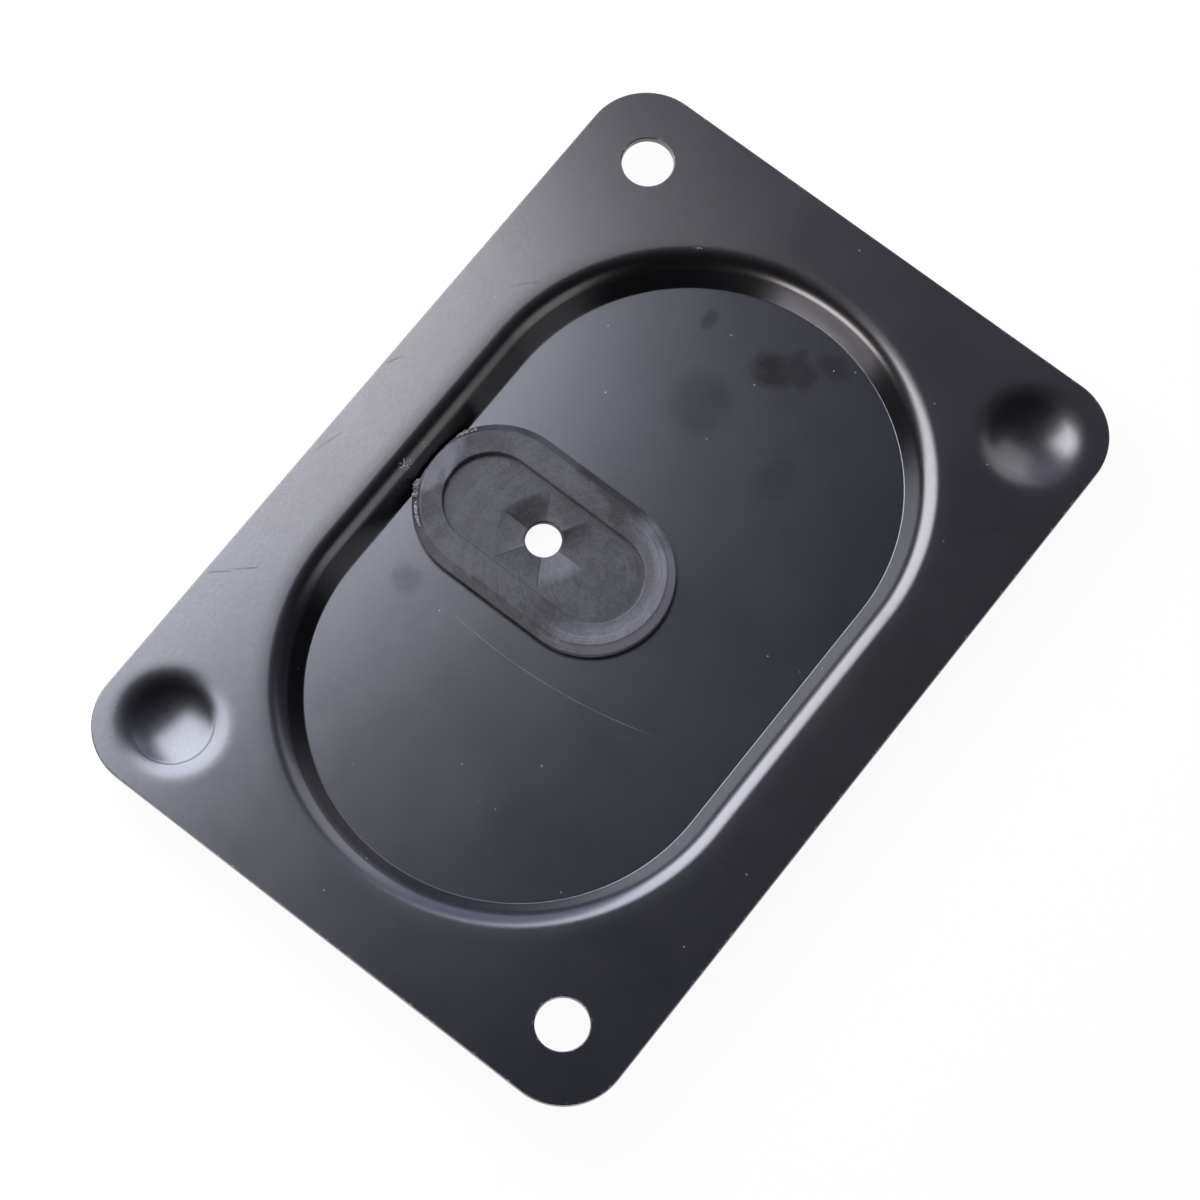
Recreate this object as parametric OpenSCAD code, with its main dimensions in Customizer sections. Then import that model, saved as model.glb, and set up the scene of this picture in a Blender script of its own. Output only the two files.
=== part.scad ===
// Pressed sheet cover for a clutch housing, with a slotted rubber grommet in its recess floor.
// The cover lies with its open side up. X runs across the short side and Y along the long side.
// The origin is on the surface that the part rests on, below the middle of the plate.

/* [Plate] */
// Short side of the plate, along X
plate_w = 108; // [104:0.5:130]
// Long side of the plate, along Y
plate_len = 154.6; // [151:0.2:190]
// Radius of the four plate corners, seen from above
corner_r = 11.3; // [4:0.1:16]
// Thickness of the pressed sheet
sheet_t = 1.5; // [0.8:0.05:2]

/* [Recess] */
// Width of the flat recess floor, along X
floor_w = 73; // [68:0.5:78]
// Length of the flat recess floor, along Y
floor_len = 120; // [100:0.5:124]
// Depth from the flange's upper face to the recess floor
recess_depth = 5.6; // [4.5:0.1:8]
// Slope of the recess wall, measured from the floor
wall_angle = 60; // [45:1:75]
// Radius of the rolled shoulder between flange and wall, on the open side
shoulder_r = 4.5; // [2.5:0.1:5]
// Radius of the crease between wall and floor, on the open side
crease_r = 0.6; // [0.3:0.05:1.5]

/* [Corner features] */
// Distance across X between the two rows of holes and dimples
pattern_w = 82.6; // [80:0.1:86]
// Distance along Y between the two rows of holes and dimples
pattern_len = 129; // [126:0.5:132]
// Diameter of the two bolt holes
bolt_hole_d = 9.1; // [5:0.1:10]
// Depth of the two dimples, from the flange's upper face
dimple_depth = 1.7; // [1:0.1:2]
// Radius of the dimple's bowl, on the open side
dimple_bowl_r = 20.3; // [16:0.1:24]
// Radius of the dimple's rolled lip, on the open side
dimple_lip_r = 12; // [8:0.1:14]

/* [Grommet] */
// Strip of recess floor left between the slot and the foot of the wall at the -X side
slot_margin = 1.6; // [0.8:0.1:25]
// Length of the grommet's upper flange, along X
grommet_len = 49.2; // [44:0.1:54]
// Width of the grommet's upper flange, along Y
grommet_w = 29; // [27:0.1:34]
// Height of the upper flange above the recess floor
flange_h = 2.4; // [1.8:0.1:3.2]
// Width of the slope round the upper flange, seen from above
slope_w = 1.5; // [0.5:0.1:2.5]
// Height of the slope round the upper flange
slope_h = 1.1; // [0.4:0.1:1.5]
// Depth of the groove that the sheet sits in
groove_depth = 3.5; // [2:0.1:4]
// Gap all round between the neck of the grommet and the slot in the sheet
slot_gap = 0.2; // [0.1:0.05:0.4]
// How far the lower lip stays inside the upper flange's outline
lip_inset = 1.2; // [0.5:0.1:1.8]
// Thickness of the lower lip, under the sheet
lip_h = 2; // [1.2:0.1:3]
// Size of the chamfer round the lower lip
lip_chamfer = 0.8; // [0.3:0.1:1]
// Gap between the trimmed end of the upper flange and the recess wall
trim_gap = 0.5; // [0.2:0.05:1]
// Wall between the sunk panel and the groove at the two round ends
end_wall = 1.6; // [1:0.1:6]
// Wall between the sunk panel and the groove along the two straight sides
side_wall = 2.55; // [1:0.05:4]
// Depth of the sunk panel below the top of the upper flange
panel_depth = 1; // [0.5:0.1:1.4]
// Thickness of the panel away from its funnel
panel_t = 1.6; // [1.2:0.1:2.2]
// Diameter of the round hole in the middle of the panel
cable_hole_d = 6.3; // [4.5:0.1:9]
// Distance from the hole's axis to where each crease along X runs out
crease_reach = 9; // [7:0.1:11]
// Distance along X from the hole's axis to the outer end of each slanting crease
crease_spread = 4.8; // [3:0.1:6]
// Depth that the creased funnel would reach at the hole's axis
funnel_depth = 0.7; // [0.2:0.05:0.9]

/* [Hidden] */

// Heights above the surface that the part rests on
sheet_under_z = lip_h;
floor_z = sheet_under_z + sheet_t;
flange_z = floor_z + recess_depth;
panel_z = floor_z + flange_h - panel_depth;

// Outlines that follow from the grommet's flange, seen from above
neck_len = grommet_len - 2 * groove_depth;
neck_w = grommet_w - 2 * groove_depth;
slot_len = neck_len + 2 * slot_gap;
slot_w = neck_w + 2 * slot_gap;
panel_len = neck_len - 2 * end_wall;
panel_w = neck_w - 2 * side_wall;
grommet_x = slot_margin + slot_len / 2 - floor_w / 2;

// Extra length that takes a cut clear of a surface
past = 1;
// Gap that keeps the funnel off the panel's straight walls
funnel_clear = 0.3;

plate_fn = 96;
round_fn = 144;
small_fn = 64;

// Recess section: distances from the middle line of the recess, heights from the flange's upper face.
wall_out = [sin(wall_angle), -cos(wall_angle)];
floor_half = floor_w / 2;
shoulder_drop = shoulder_r * (1 - cos(wall_angle));
wall_rise = recess_depth - shoulder_drop;
wall_top = [floor_half + wall_rise / tan(wall_angle), -shoulder_drop];
shoulder_mid = [wall_top[0] + shoulder_r * sin(wall_angle), -shoulder_r];
crease_mid = [floor_half - crease_r * tan(wall_angle / 2), crease_r - recess_depth];
recess_run = (floor_len - floor_w) / 2;

// Dimple section: distances from the dimple's axis, heights from the flange's upper face.
bowl_mid = [0, dimple_bowl_r - dimple_depth];
lip_mid_z = -dimple_lip_r;
bowl_to_lip = dimple_bowl_r + dimple_lip_r;
lip_mid = [sqrt(bowl_to_lip ^ 2 - (bowl_mid[1] - lip_mid_z) ^ 2), lip_mid_z];
bowl_to_lip_dir = (lip_mid - bowl_mid) / bowl_to_lip;

// A flat stadium with its straight sides along X
module stadium_x(len, w, h) {
  run = (len - w) / 2;
  translate([-run, -w / 2, 0])
    cube([2 * run, w, h]);
  for (side = [-1, 1])
    translate([side * run, 0, 0])
      cylinder(d = w, h = h, $fn = round_fn);
}

// A solid stadium with a shaped rim: children() is the right half of its section.
// run is half the straight length, and turn sets whether that length lies along X or Y.
module stadium_solid(run, turn) {
  rotate([0, 0, turn]) {
    rotate([90, 0, 90])
      translate([0, 0, -run])
        linear_extrude(height = 2 * run) {
          children();
          mirror([1, 0])
            children();
        }
    for (side = [-1, 1])
      translate([side * run, 0, 0])
        rotate_extrude($fn = round_fn)
          children();
  }
}

// Space above the recess floor, as half a section
module recess_cavity_section() {
  difference() {
    union() {
      polygon([
        [0, -recess_depth],
        [crease_mid[0], -recess_depth],
        crease_mid + crease_r * wall_out,
        wall_top,
        shoulder_mid,
        [shoulder_mid[0], past],
        [0, past]
      ]);
      translate(crease_mid)
        circle(r = crease_r, $fn = small_fn);
    }
    translate(shoulder_mid)
      circle(r = shoulder_r, $fn = round_fn);
  }
}

// Everything inside the outer surface of the recess, as half a section
module recess_outer_section() {
  difference() {
    union() {
      polygon([
        [0, -recess_depth - sheet_t],
        [crease_mid[0], -recess_depth - sheet_t],
        crease_mid + (crease_r + sheet_t) * wall_out,
        wall_top + sheet_t * wall_out,
        shoulder_mid,
        [shoulder_mid[0], -sheet_t / 2],
        [0, -sheet_t / 2]
      ]);
      translate(crease_mid)
        circle(r = crease_r + sheet_t, $fn = small_fn);
    }
    translate(shoulder_mid)
      circle(r = shoulder_r - sheet_t, $fn = round_fn);
  }
}

// Half a section of a dimple: offset 0 gives its upper surface, sheet_t its lower one
module dimple_section(offset, top) {
  tangent = bowl_mid + (dimple_bowl_r + offset) * bowl_to_lip_dir;
  difference() {
    union() {
      polygon([
        [0, tangent[1]],
        tangent,
        lip_mid,
        [lip_mid[0], top],
        [0, top]
      ]);
      intersection() {
        translate(bowl_mid)
          circle(r = dimple_bowl_r + offset, $fn = round_fn);
        translate([0, -dimple_depth - offset])
          square([dimple_bowl_r + offset, dimple_depth + offset + top]);
      }
    }
    translate(lip_mid)
      circle(r = dimple_lip_r - offset, $fn = round_fn);
  }
}

// Puts children() at the two corners of the pattern on one diagonal.
// side is 1 for the dimples' diagonal and -1 for the bolt holes'.
module on_diagonal(side) {
  for (turn = [-1, 1])
    translate([turn * pattern_w / 2, turn * side * pattern_len / 2, flange_z])
      children();
}

module plate_blank() {
  translate([0, 0, flange_z - sheet_t])
    linear_extrude(height = sheet_t) {
      square([plate_w - 2 * corner_r, plate_len], center = true);
      square([plate_w, plate_len - 2 * corner_r], center = true);
      for (x = [-1, 1], y = [-1, 1])
        translate([x * (plate_w / 2 - corner_r), y * (plate_len / 2 - corner_r)])
          circle(r = corner_r, $fn = plate_fn);
    }
}

// The one-piece steel pressing
module cover_plate() {
  color([0.06, 0.06, 0.07])
    difference() {
      union() {
        plate_blank();
        translate([0, 0, flange_z])
          stadium_solid(recess_run, 90)
            recess_outer_section();
        on_diagonal(1)
          rotate_extrude($fn = round_fn)
            dimple_section(sheet_t, -sheet_t / 2);
      }
      translate([0, 0, flange_z])
        stadium_solid(recess_run, 90)
          recess_cavity_section();
      on_diagonal(1)
        rotate_extrude($fn = round_fn)
          dimple_section(0, past);
      on_diagonal(-1)
        translate([0, 0, -sheet_t - past])
          cylinder(d = bolt_hole_d, h = sheet_t + 2 * past, $fn = small_fn);
      translate([grommet_x, 0, sheet_under_z - past])
        stadium_x(slot_len, slot_w, sheet_t + 2 * past);
    }
}

// Upper flange of the grommet, sloped round its rim and trimmed where it meets the recess wall
module upper_flange() {
  half_w = grommet_w / 2;
  wall_foot = floor_half - trim_gap / sin(wall_angle);
  wall_reach = wall_foot + flange_h / tan(wall_angle);
  intersection() {
    translate([grommet_x, 0, floor_z])
      stadium_solid((grommet_len - grommet_w) / 2, 0)
        polygon([
          [0, 0],
          [half_w, 0],
          [half_w, flange_h - slope_h],
          [half_w - slope_w, flange_h],
          [0, flange_h]
        ]);
    translate([0, grommet_w, floor_z])
      rotate([90, 0, 0])
        linear_extrude(height = 2 * grommet_w)
          polygon([
            [-wall_foot, 0],
            [wall_foot, 0],
            [wall_reach, flange_h],
            [-wall_reach, flange_h]
          ]);
  }
}

// Lower lip of the grommet, chamfered so that it can be pushed through the slot
module lower_lip() {
  half_w = grommet_w / 2 - lip_inset;
  translate([grommet_x, 0, 0])
    stadium_solid((grommet_len - grommet_w) / 2, 0)
      polygon([
        [0, 0],
        [half_w - lip_chamfer, 0],
        [half_w, lip_chamfer],
        [half_w, lip_h],
        [0, lip_h]
      ]);
}

// Shallow six-sided funnel round the hole, whose edges are the creases of the panel
module panel_funnel() {
  reach_y = panel_w / 2 - funnel_clear;
  ring = [
    [crease_reach, 0],
    [crease_spread, reach_y],
    [-crease_spread, reach_y],
    [-crease_reach, 0],
    [-crease_spread, -reach_y],
    [crease_spread, -reach_y]
  ];
  rim = [for (p = ring) [p[0], p[1], 0]];
  top = [for (p = ring) [p[0], p[1], past]];
  points = concat([[0, 0, -funnel_depth]], rim, top);
  slopes = [for (i = [0:5]) [0, 1 + (i + 1) % 6, 1 + i]];
  sides = [for (i = [0:5]) [1 + i, 1 + (i + 1) % 6, 7 + (i + 1) % 6, 7 + i]];
  translate([grommet_x, 0, panel_z])
    polyhedron(points = points, faces = concat(slopes, sides, [[12, 11, 10, 9, 8, 7]]));
}

// The moulded rubber grommet, seated in the slot
module rubber_grommet() {
  color([0.09, 0.09, 0.1])
    difference() {
      union() {
        upper_flange();
        translate([grommet_x, 0, sheet_under_z])
          stadium_x(neck_len, neck_w, sheet_t);
        lower_lip();
      }
      translate([grommet_x, 0, panel_z])
        stadium_x(panel_len, panel_w, panel_depth + past);
      translate([grommet_x, 0, -past])
        stadium_x(panel_len, panel_w, panel_z - panel_t + past);
      panel_funnel();
      translate([grommet_x, 0, -past])
        cylinder(d = cable_hole_d, h = flange_z, $fn = small_fn);
    }
}

cover_plate();
rubber_grommet();
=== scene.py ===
"""Looks of a pressed clutch housing cover with a slotted rubber grommet in its recess floor."""
import math

import bpy
import numpy as np
from mathutils import Matrix, Vector
from mathutils.geometry import delaunay_2d_cdt


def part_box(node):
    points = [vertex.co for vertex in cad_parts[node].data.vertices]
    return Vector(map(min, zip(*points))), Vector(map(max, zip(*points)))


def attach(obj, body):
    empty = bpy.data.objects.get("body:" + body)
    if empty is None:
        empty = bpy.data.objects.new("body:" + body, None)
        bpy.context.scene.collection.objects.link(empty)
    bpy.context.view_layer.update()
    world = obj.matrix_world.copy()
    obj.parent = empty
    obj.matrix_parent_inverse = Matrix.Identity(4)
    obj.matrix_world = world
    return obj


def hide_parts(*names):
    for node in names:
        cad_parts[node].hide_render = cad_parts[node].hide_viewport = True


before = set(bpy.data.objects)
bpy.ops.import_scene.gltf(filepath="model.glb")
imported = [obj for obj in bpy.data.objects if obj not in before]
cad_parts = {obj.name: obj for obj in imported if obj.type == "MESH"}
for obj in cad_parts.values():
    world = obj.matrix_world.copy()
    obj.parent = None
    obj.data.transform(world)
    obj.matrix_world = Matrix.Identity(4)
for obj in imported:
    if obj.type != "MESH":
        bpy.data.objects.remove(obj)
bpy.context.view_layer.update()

MM = 0.001

# Plate: its outline and flange height come from the frame, and its section follows the CAD section,
# with finer rolls at every edge and a sharper crease at the foot of the recess wall.
plate_lo, plate_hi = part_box("cover_plate")
PLATE_W = plate_hi.x - plate_lo.x
PLATE_LEN = plate_hi.y - plate_lo.y
FLANGE_Z = plate_hi.z
CORNER_R = 11.3 * MM
SHEET_T = 1.5 * MM
TOP_ROLL_R = 0.2 * MM
UNDER_ROLL_R = 0.12 * MM

FLOOR_W = 73 * MM
FLOOR_LEN = 120 * MM
RECESS_DEPTH = 5.6 * MM
WALL_ANGLE = math.radians(60)
SHOULDER_R = 4.5 * MM
CREASE_R = 0.3 * MM
# The flange keeps a slight fall towards the recess past the end of the rolled shoulder.
LIP_FALL = math.radians(2.2)
RECESS_LIP_END = 45.5 * MM
DIMPLE_LIP_END = 11.6 * MM

PATTERN_W = 82.6 * MM
PATTERN_LEN = 129 * MM
BOLT_HOLE_R = 4.55 * MM
DIMPLE_DEPTH = 1.7 * MM
BOWL_R = 20.3 * MM
DIMPLE_LIP_R = 12.0 * MM

# Grommet: it stands on the floor plane, and its section follows the CAD section, with a slightly
# deeper panel and a dished flange.
grommet_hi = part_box("rubber_grommet")[1]
GROMMET_LEN = 49.2 * MM
GROMMET_W = 29 * MM
GROMMET_X = grommet_hi.x - GROMMET_LEN / 2
GROMMET_TOP = grommet_hi.z
FLOOR_Z = FLANGE_Z - RECESS_DEPTH
SHEET_UNDER_Z = FLOOR_Z - SHEET_T
GROOVE_DEPTH = 3.5 * MM
SLOT_GAP = 0.2 * MM
SLOPE_W = 1.5 * MM
SLOPE_H = 1.1 * MM
LIP_INSET = 1.2 * MM
LIP_CHAMFER = 0.8 * MM
END_WALL = 1.6 * MM
SIDE_WALL = 2.55 * MM
PANEL_DEPTH = 1.25 * MM
PANEL_T = 1.35 * MM
CABLE_HOLE_R = 3.15 * MM
CREASE_REACH = 9.0 * MM
CREASE_SPREAD = 4.8 * MM
FUNNEL_CLEAR = 0.3 * MM
# Depth of each crease at the hole, anticlockwise from the +X crease: the rubber has set unevenly
CREASE_DEPTHS = [d * MM for d in (0.40, -0.12, 0.30, 0.60, 0.05, 0.30)]
# The flange's face is slightly dished towards the panel.
DISH_ANGLE = math.radians(3.0)
TRIM_GAP = 0.5 * MM
# The flash is torn off this far down the flange's sloped rim, as a share of the slope.
FLASH_SEAT = 0.55
FLASH_SEED = 7
# Stretches of torn flash round the -X end: first and last angle seen from above, and size
FLASH_STRETCHES = [(143, 158, 0.8), (200, 214, 1.8), (217, 236, 0.45)]
# Small radii of the moulding: its outer rim, its other edges and the foot of its inner walls
SOFT_R = 0.35 * MM
EDGE_R = 0.28 * MM
FOOT_R = 0.12 * MM

# Mesh steps
ARC_STEP = math.radians(2.5)
SMALL_ARC_STEP = math.radians(5.625)
SIDE_STEP = 5 * MM
FILL_STEP = 6 * MM

# Camera, from the photograph's perspective: sight line, picture's upward direction and lens
CAMERA_PLACE = Vector((127.08, -166.84, 636.71)) * MM
CAMERA_SIGHT = Vector((-0.19, 0.24681, -0.95026))
CAMERA_UP = Vector((-0.586, 0.74806, 0.31146))
CAMERA_LENS = 118.12

# Lamps: name, place from the middle of the plate, width, height, radiance and colour
SOFTBOXES = [
    ("key_softbox", (-0.2746, 0.0335, 0.2595), 0.293, 0.364, 7.80, (1.0, 1.0, 1.11)),
    ("side_softbox", (0.5504, 0.0624, 0.2592), 0.324, 0.408, 1.52, (1.0, 1.0, 1.05)),
    ("far_softbox", (-0.0282, 0.6178, 0.1843), 0.352, 0.932, 1.39, (1.02, 1.0, 1.03)),
    ("near_softbox", (-0.1545, -0.6347, 0.1673), 0.500, 0.200, 9.0, (1.08, 1.0, 1.06)),
]
# The dark studio with a broad glow low in one direction
STUDIO_COLOUR = (0.0085, 0.0085, 0.0102)
GLOW_WAY = (-0.5876, 0.7754, 0.2312)
GLOW_COLOUR = (1.21, 1.23, 1.76)
GLOW_FOCUS = 4.39
# A faint band along the horizon, apart from the +X side, which stays dark
HORIZON_COLOUR = (0.055, 0.055, 0.062)
HORIZON_TOP = 0.42
FLOOR_WHITE_SHARE = 0.94
GROUND_HALF = 3.0
GROUND_GREY = 0.85
# The ground lies this far under the grommet's lip, so that the two faces don't coincide.
CONTACT_GAP = 0.02 * MM

PAINT_DARK = (0.0006, 0.0006, 0.0008)
PAINT_LIGHT = (0.0010, 0.0010, 0.0014)
PAINT_ROUGH = 0.259
PAINT_ROUGH_SPREAD = 0.014
PEEL_HEIGHT = 0.004 * MM
# Sprayed droplets: their size in millimetres, and how far the gloss strays from one to the next
DROPLET_SIZE = 0.32
DROPLET_SPREAD = 0.045
# Painted reflection colour: the paint's gloss is tinted slightly cool in the recess, slightly warm elsewhere
COOL_PAINTED_REFLECTION_TINT = (0.972, 1.006, 1.045)
WARM_PAINTED_REFLECTION_TINT = (1.012, 0.99, 0.96)
EDGE_WEAR_COLOUR = (0.02, 0.02, 0.024)
CHIP_COLOUR = (0.18, 0.17, 0.16)
LIGHT_SCRATCH_COLOUR = (0.16, 0.16, 0.17)
# The dull film over the gloss, where there are scuffs, stains and dust
FILM_ROUGH = 0.7
SCUFF_COLOUR = (0.006, 0.006, 0.008)
STAIN_COLOUR = (0.010, 0.0075, 0.006)
DUST_COLOUR = (0.42, 0.41, 0.40)
STAIN_COVER = 0.85
SCUFF_COVER = 0.65
DUST_COVER = 0.8

RUBBER_DARK = (0.0050, 0.0052, 0.0056)
RUBBER_LIGHT = (0.096, 0.098, 0.108)
# Grey bloom on the rubber: its usual level, and the tones of the funnel's six facets, anticlockwise
# from the one below the -X crease, which are partly bloom and partly painted light and shade of the facets'
# tilts
BLOOM = 0.28
FACET_BLOOM_AND_SHADE = (0.39, 0.29, 0.66, 0.07, 0.14, 0.02)
# Patches of more or less bloom; those that take bloom away are painted shade where the flange catches light:
# centre, half width, half length, strength
BLOOM_AND_SHADE_PATCHES = [
    ((-36.0, -0.5), 2.8, 7.0, 0.75),
    ((-22.0, 11.0), 8.0, 3.0, 0.08),
    ((-22.0, -11.0), 7.0, 3.0, 0.05),
    ((-8.0, 14.4), 10.0, 2.8, -0.30),
    ((-4.5, 10.5), 6.0, 2.6, -0.10),
    ((-2.5, -10.6), 8.0, 3.0, -0.22),
    ((-14.0, -14.4), 9.0, 2.2, -0.16),
    ((-33.5, -8.5), 4.0, 4.0, -0.12),
    ((4.2, 12.2), 4.2, 2.6, -0.35),
    ((-3.5, -14.6), 5.0, 2.0, -0.25),
]

# Fine arcs that the mould's face left: round the right-hand end, and a weaker set that crosses them
SWIRL_CENTRE = (-3.5, 0.0)
SWIRL_CROSSING = (-16.0, -14.0)
SWIRLS = [(SWIRL_CENTRE, 0.7), (SWIRL_CROSSING, 0.4)]
# Paler rubber on the bevel of the right-hand end, partly bloom and partly painted highlight; paler rubber on
# torn edges, and dust on it
BEVEL_BLOOM_AND_HIGHLIGHT = (0.22, 0.22, 0.24)
TORN_COLOUR = (0.17, 0.165, 0.165)
RUBBER_DUST_COLOUR = (0.35, 0.35, 0.35)
RUBBER_GRAIN_HEIGHT = 0.022 * MM
# Painted shade: a dark line along each crease of the funnel, in millimetres
CREASE_SHADE_W = 0.26
CREASE_SHADE_DARK = 0.85

# Marks of handling, in millimetres on the plate. Scratches: start, end, bow to the left, width, strength
LIGHT_SCRATCHES = [
    ((-22.0, -19.1), (26.0, -14.5), -2.9, 0.14, 0.42),
]
DARK_SCRATCHES = [
    ((38.9, 39.0), (52.6, 57.6), -1.3, 0.24, 0.7),
    ((-53.6, -41.0), (-49.8, -37.6), 0.1, 0.35, 0.5),
    ((-51.6, -38.4), (-47.0, -34.4), -0.2, 0.30, 0.55),
    ((-53.6, 6.8), (-51.7, 10.6), 0.1, 0.35, 0.45),
    ((-53.0, -13.4), (-51.2, -6.8), 0.2, 0.35, 0.3),
    ((-46.0, 30.6), (-41.8, 35.4), 0.3, 0.40, 0.35),
    ((43.4, -26.4), (50.2, -30.2), 0.3, 0.80, 0.35),
    ((42.2, 19.0), (51.4, 21.2), -0.5, 0.60, 0.25),
    ((42.6, -9.8), (47.6, -9.2), 0.2, 0.50, 0.25),
    ((9.7, -39.5), (11.7, -36.0), 0.2, 0.16, 0.4),
    ((12.8, -37.2), (14.5, -37.9), 0.1, 0.16, 0.35),
    ((9.2, 40.6), (12.6, 42.6), 0.2, 0.30, 0.35),
]
# Thin dark arc in one dimple, painted shade of a fine fold that the punch left: centre, radius, width, middle
# of the arc, strength
PUNCH_FOLD_SHADE = ((-41.3, -64.5), 7.15, 0.34, -35.0, 0.75)
# Greasy stains: centre, half width, half length, strength
STAINS = [
    ((-1.7, 48.7), 4.4, 3.9, 0.92),
    ((1.9, 51.2), 4.4, 3.2, 0.74),
    ((0.3, 53.9), 1.3, 2.0, 0.8),
    ((6.0, 55.8), 4.0, 2.4, 0.55),
    ((-7.9, 36.2), 6.4, 7.4, 0.42),
    ((-6.4, 39.2), 2.8, 2.8, 0.5),
    ((-16.4, 49.6), 1.6, 2.4, 0.5),
    ((-27.6, -19.6), 3.2, 3.0, 0.38),
    ((10.6, 33.0), 3.4, 6.0, 0.3),
]
# Dust clusters: centre, half width, half length, strength
DUST = [
    ((-39.5, -4.8), 1.3, 1.7, 1.0),
    ((-39.3, 0.3), 0.9, 0.7, 1.0),
    ((-24.6, 57.2), 1.6, 1.0, 0.6),
]


class Shell:
    """Gathers points, faces and the normal at each face corner, then makes one mesh of them."""

    def __init__(self):
        self.points = []
        self.wear = []
        self.faces = []
        self.normals = []

    def add(self, points, wear=0.0):
        """Adds points and returns their numbers."""
        first = len(self.points)
        self.points.extend((x, y, max(z, 0.0)) for x, y, z in points)
        self.wear.extend([wear] * len(points))
        return list(range(first, len(self.points)))

    def face(self, corners, normals):
        self.faces.append(corners)
        self.normals.extend(tuple(n) for n in normals)

    def flat_face(self, corners):
        """A face with its own flat normal, whose corners run anticlockwise seen from outside."""
        places = [Vector(self.points[c]) for c in corners]
        normal = (places[1] - places[0]).cross(places[2] - places[0])
        normal = normal if normal.length > 0 else (places[2] - places[0]).cross(places[3] - places[0])
        self.face(corners, [normal.normalized()] * len(corners))

    def strip(self, a, b, normals_a, normals_b):
        """Quads from closed loop a to closed loop b, facing left of the way from a to b."""
        count = len(a)
        for i in range(count):
            j = (i + 1) % count
            self.face(
                (a[i], b[i], b[j], a[j]),
                (normals_a[i], normals_b[i], normals_b[j], normals_a[j]),
            )

    def cap(self, loop, centre, normal, normals):
        """Triangles from a closed loop to the point at its centre."""
        (middle,) = self.add([centre])
        count = len(loop)
        for i in range(count):
            j = (i + 1) % count
            self.face((middle, loop[i], loop[j]), (normal, normals[i], normals[j]))

    def fill(self, outline, holes, up, step=FILL_STEP, shape=None):
        """Triangles between an outline and its holes, all closed loops.

        The area is flat, or has the height and normal that shape(x, y) gives."""
        loops = [outline, *holes]
        numbers = [n for loop in loops for n in loop]
        rims = [np.array([self.points[n][:2] for n in loop]) for loop in loops]
        flat = np.concatenate(rims)
        edges, start = [], 0
        for loop in loops:
            count = len(loop)
            edges += [(start + i, start + (i + 1) % count) for i in range(count)]
            start += count
        inner = grid_inside(rims, step)
        level = self.points[outline[0]][2]
        normal = (0, 0, 1 if up else -1)
        shape = shape or (lambda x, y: (level, normal))
        numbers += self.add([(x, y, shape(x, y)[0]) for x, y in inner])
        places = np.concatenate([flat, inner])
        inside_the_edges = 1
        made = delaunay_2d_cdt([Vector(p) for p in places], edges, [], inside_the_edges, 1e-9)
        faces, origins = made[2], made[3]
        faces = np.array([[origins[v][0] for v in face] for face in faces])
        faces = faces[inside(rims, places[faces].mean(1))]
        for face in faces:
            corners = tuple(numbers[v] for v in (face if up else face[::-1]))
            self.face(corners, [shape(*self.points[corner][:2])[1] for corner in corners])

    def build(self, name):
        mesh = bpy.data.meshes.new(name)
        mesh.from_pydata(self.points, [], self.faces)
        for polygon in mesh.polygons:
            polygon.use_smooth = True
        wear = mesh.attributes.new("wear", "FLOAT", "POINT")
        wear.data.foreach_set("value", self.wear)
        mesh.normals_split_custom_set(self.normals)
        piece = bpy.data.objects.new(name, mesh)
        bpy.context.scene.collection.objects.link(piece)
        return piece


def inside(rims, places):
    """Which places lie inside the first closed outline and outside the others."""
    crossings = np.zeros(len(places), int)
    for rim in rims:
        a, b = rim, np.roll(rim, -1, 0)
        x, y = places[:, :1], places[:, 1:]
        spans = (a[:, 1] > y) != (b[:, 1] > y)
        rise = np.where(a[:, 1] == b[:, 1], 1, b[:, 1] - a[:, 1])
        crossings += (spans & (x < a[:, 0] + (b[:, 0] - a[:, 0]) * (y - a[:, 1]) / rise)).sum(1)
    return crossings % 2 == 1


def grid_inside(rims, step):
    """Points of a triangular grid that stay inside the outlines and clear of every edge."""
    lo, hi = rims[0].min(0), rims[0].max(0)
    grid = np.array([
        (x, y)
        for k, y in enumerate(np.arange(lo[1], hi[1], step * math.sqrt(0.75)))
        for x in np.arange(lo[0] + step * (k % 2) / 2, hi[0], step)
    ])
    gap = np.full(len(grid), np.inf)
    for rim in rims:
        along = np.roll(rim, -1, 0) - rim
        away = grid[:, None] - rim
        t = np.clip((away * along).sum(-1) / (along**2).sum(1), 0, 1)
        gap = np.minimum(gap, np.linalg.norm(away - t[..., None] * along, axis=-1).min(1))
    return grid[inside(rims, grid) & (gap > step * 0.45)]


def spine(corners, arc_step=ARC_STEP, side_step=SIDE_STEP):
    """Foot points and outward directions all round some corner centres, anticlockwise."""
    corners = np.array(corners, float)
    count = len(corners)
    foot, out = [], []
    for i in range(count):
        here, before, after = corners[i], corners[i - 1], corners[(i + 1) % count]
        way = after - here
        start = math.atan2(*(here - before)[::-1]) - math.pi / 2
        turn = math.atan2(*way[::-1]) - math.pi / 2 - start
        turn = turn % (2 * math.pi) if count > 1 else 2 * math.pi
        steps = round(turn / arc_step)
        for k in range(steps):
            angle = start + turn * k / steps
            foot.append(here)
            out.append((math.cos(angle), math.sin(angle)))
        if count > 1:
            angle = start + turn
            steps = max(1, math.ceil(np.linalg.norm(way) / side_step))
            for k in range(steps):
                foot.append(here + way * k / steps)
                out.append((math.cos(angle), math.sin(angle)))
    return np.array(foot), np.array(out)


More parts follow.
